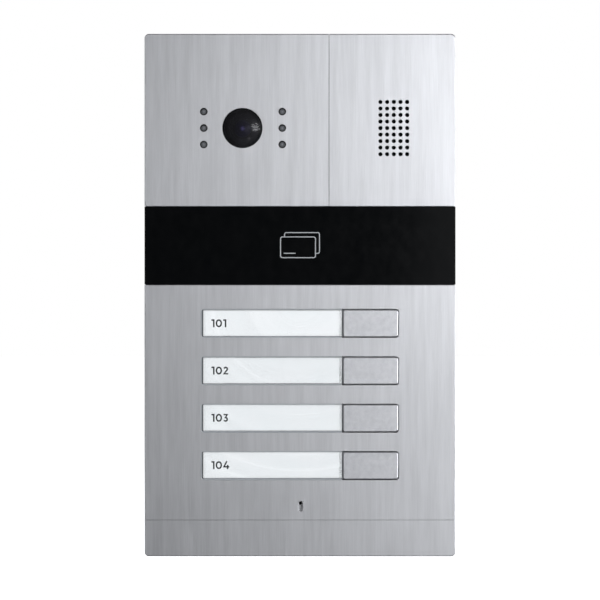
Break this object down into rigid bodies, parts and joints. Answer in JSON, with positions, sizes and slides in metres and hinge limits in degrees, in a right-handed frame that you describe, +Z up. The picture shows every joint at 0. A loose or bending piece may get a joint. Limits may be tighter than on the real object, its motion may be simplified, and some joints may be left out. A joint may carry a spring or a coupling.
{
  "type": "door intercom panel",
  "caption": "Wall-mounted door intercom: brushed metal front with domed camera and lamps, drilled speaker grille, black card-reader band, and call keys beside name windows.",
  "frame": {"origin": "middle of the wall bracket's back face, on the wall plane", "axes": "+X to a visitor's right, +Y into the wall, +Z up; the front faces -Y"},
  "size_m": [0.122, 0.0353, 0.205],
  "materials": {
    "brushed_aluminium": "vertically brushed, clear anodised",
    "black_acrylic": "polished black acrylic",
    "dark_dome_acrylic": "smoked clear acrylic, polished",
    "clear_acrylic": "clear acrylic, polished",
    "key_metal": "fine bead-blasted",
    "case_plastic": "fine spark-eroded texture",
    "zinc_steel": "zinc plated",
    "screw_steel": "plated",
    "foam": "closed-cell foam",
    "silicone": "moulded silicone",
    "lens_black": "black, fine matt",
    "optical_glass": "coated",
    "lamp_resin": "smoked resin",
    "board_green": "solder resist",
    "mesh_cloth": "woven acoustic cloth",
    "speaker_steel": "pressed and plated",
    "cone_film": "formed film",
    "copper": "bare copper track",
    "wire_cover": "cable covering",
    "capsule_metal": "drawn can",
    "guide_white": "white reflector plastic",
    "card_paper": "printed card",
    "terminal_green": "moulded",
    "component_black": "moulded",
    "rotor_white": "moulded"
  },
  "bodies": {
    "panel": {"camera_plate": "brushed_aluminium", "speaker_plate": "brushed_aluminium", "button_plate": "brushed_aluminium", "reader_window": "black_acrylic", "camera_window": "dark_dome_acrylic", "name_window_1": "clear_acrylic", "name_window_2": "clear_acrylic", "name_window_3": "clear_acrylic", "name_window_4": "clear_acrylic", "front_case": "case_plastic", "rear_cover": "case_plastic", "wall_bracket": "zinc_steel", "rear_cover_screws": "screw_steel", "panel_screws": "screw_steel", "board_screws": "screw_steel", "bonding_tape": "foam", "wall_seal": "foam", "case_seal": "silicone", "window_seal": "silicone", "speaker_gasket": "silicone", "microphone_boot": "silicone", "rubber_dome_1": "silicone", "rubber_dome_2": "silicone", "rubber_dome_3": "silicone", "rubber_dome_4": "silicone", "lens_barrel": "lens_black", "lens_holder": "lens_black", "led_bushes": "lens_black", "image_sensor": "lens_black", "lens_glass": "optical_glass", "ir_leds": "lamp_resin", "camera_board": "board_green", "ir_board": "board_green", "antenna_board": "board_green", "key_board": "board_green", "main_board": "board_green", "speaker_mesh": "mesh_cloth", "speaker_frame": "speaker_steel", "speaker_magnet": "speaker_steel", "speaker_cone": "cone_film", "antenna_coil": "copper", "speaker_lead": "wire_cover", "camera_ribbon": "wire_cover", "microphone": "capsule_metal", "light_guides": "guide_white", "backlight_leds": "guide_white", "name_card_1": "card_paper", "name_card_2": "card_paper", "name_card_3": "card_paper", "name_card_4": "card_paper", "terminal_block": "terminal_green", "board_components": "component_black"},
    "call_button_1": {"call_button_1": "key_metal"},
    "call_button_2": {"call_button_2": "key_metal"},
    "call_button_3": {"call_button_3": "key_metal"},
    "call_button_4": {"call_button_4": "key_metal"},
    "bottom_cover": {"bottom_strip": "brushed_aluminium", "strip_clip_frame": "case_plastic"},
    "volume_trimmer": {"trimmer_rotor": "rotor_white"}
  },
  "joints": [
    {"name": "call_button_1_press", "type": "slide", "parent": "panel", "child": "call_button_1", "axis": [0, 1, 0], "range_m": [0, 0.001], "stiffness_N_per_m": 1500, "deforming": ["rubber_dome_1"]},
    {"name": "call_button_2_press", "type": "slide", "parent": "panel", "child": "call_button_2", "axis": [0, 1, 0], "range_m": [0, 0.001], "stiffness_N_per_m": 1500, "deforming": ["rubber_dome_2"]},
    {"name": "call_button_3_press", "type": "slide", "parent": "panel", "child": "call_button_3", "axis": [0, 1, 0], "range_m": [0, 0.001], "stiffness_N_per_m": 1500, "deforming": ["rubber_dome_3"]},
    {"name": "call_button_4_press", "type": "slide", "parent": "panel", "child": "call_button_4", "axis": [0, 1, 0], "range_m": [0, 0.001], "stiffness_N_per_m": 1500, "deforming": ["rubber_dome_4"]},
    {"name": "bottom_cover_pull", "type": "slide", "parent": "panel", "child": "bottom_cover", "axis": [0, -1, 0], "range_m": [0, 0.02]},
    {"name": "volume_trimmer_turn", "type": "hinge", "parent": "panel", "child": "volume_trimmer", "pos_m": [0.0206, -0.0122, 0.0258], "axis": [0, 1, 0], "range_deg": [-135, 135]}
  ]
}
